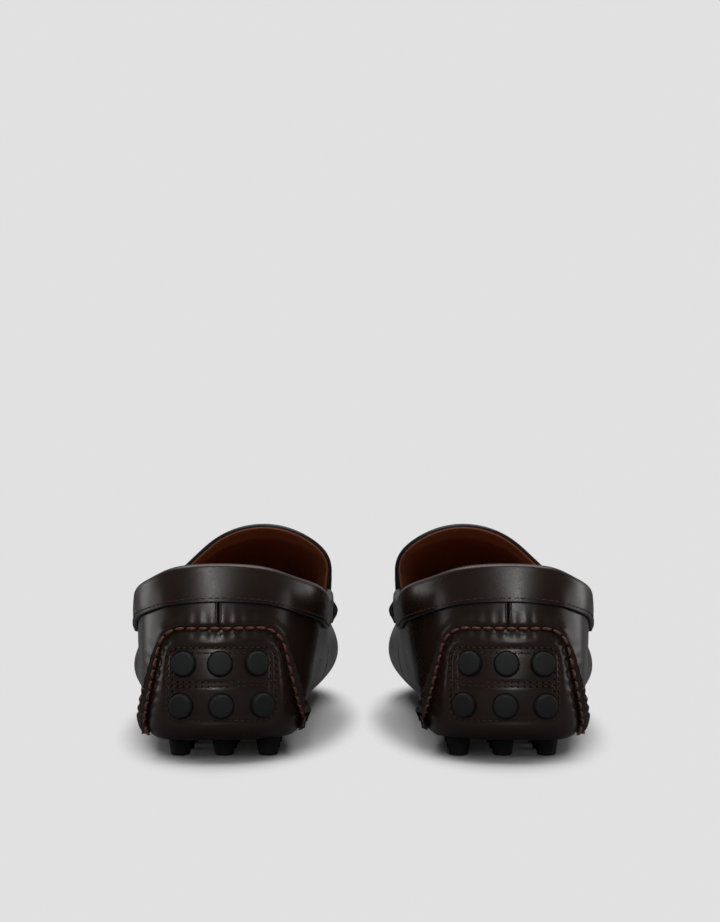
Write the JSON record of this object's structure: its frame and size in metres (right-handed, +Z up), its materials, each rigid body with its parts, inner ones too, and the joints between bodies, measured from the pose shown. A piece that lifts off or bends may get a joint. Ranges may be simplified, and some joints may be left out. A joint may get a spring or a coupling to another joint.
{
  "type": "driving moccasin pair",
  "caption": "Pair of men's driving moccasins in dark calf: studded rubber sole carried up the heel, folded collar band, hand-sewn heel patch and apron, saddle strap",
  "frame": {"origin": "on the floor under the middle of the pair", "axes": "+Y from the heels to the toes, +X from the left shoe to the right shoe, +Z up"},
  "size_m": [0.2212, 0.2903, 0.0889],
  "materials": {
    "calf": "smooth polished calf, dark chocolate",
    "lining": "matt cognac lining leather",
    "rubber": "matt charcoal moulded rubber",
    "board": "fibre board",
    "foam": "open-cell foam",
    "stiffener": "resin-stiffened cloth",
    "thread": "waxed thread, red brown"
  },
  "bodies": {
    "left_shoe": {"left_sole_leather": "calf", "left_heel_back_stud_pad": "rubber", "left_heel_stud_pad": "rubber", "left_forefoot_stud_pad": "rubber", "left_insole_board": "board", "left_footbed_foam": "foam", "left_sock_lining": "lining", "left_quarter_outer_side": "calf", "left_quarter_inner_side": "calf", "left_quarter_lining": "lining", "left_heel_counter": "stiffener", "left_collar_foam": "foam", "left_collar_band": "calf", "left_back_seam_welt": "calf", "left_vamp_wall": "calf", "left_vamp_lining": "lining", "left_toe_puff": "stiffener", "left_apron_tongue": "calf", "left_apron_lining": "lining", "left_saddle_strap": "calf", "left_apron_seam_thread": "thread", "left_heel_patch_thread": "thread"},
    "right_shoe": {"right_sole_leather": "calf", "right_heel_back_stud_pad": "rubber", "right_heel_stud_pad": "rubber", "right_forefoot_stud_pad": "rubber", "right_insole_board": "board", "right_footbed_foam": "foam", "right_sock_lining": "lining", "right_quarter_outer_side": "calf", "right_quarter_inner_side": "calf", "right_quarter_lining": "lining", "right_heel_counter": "stiffener", "right_collar_foam": "foam", "right_collar_band": "calf", "right_back_seam_welt": "calf", "right_vamp_wall": "calf", "right_vamp_lining": "lining", "right_toe_puff": "stiffener", "right_apron_tongue": "calf", "right_apron_lining": "lining", "right_saddle_strap": "calf", "right_apron_seam_thread": "thread", "right_heel_patch_thread": "thread"}
  },
  "joints": [
    {"name": "right_shoe_lift", "type": "slide", "parent": "left_shoe", "child": "right_shoe", "axis": [0, 0, 1], "range_m": [0, 0.12]}
  ]
}
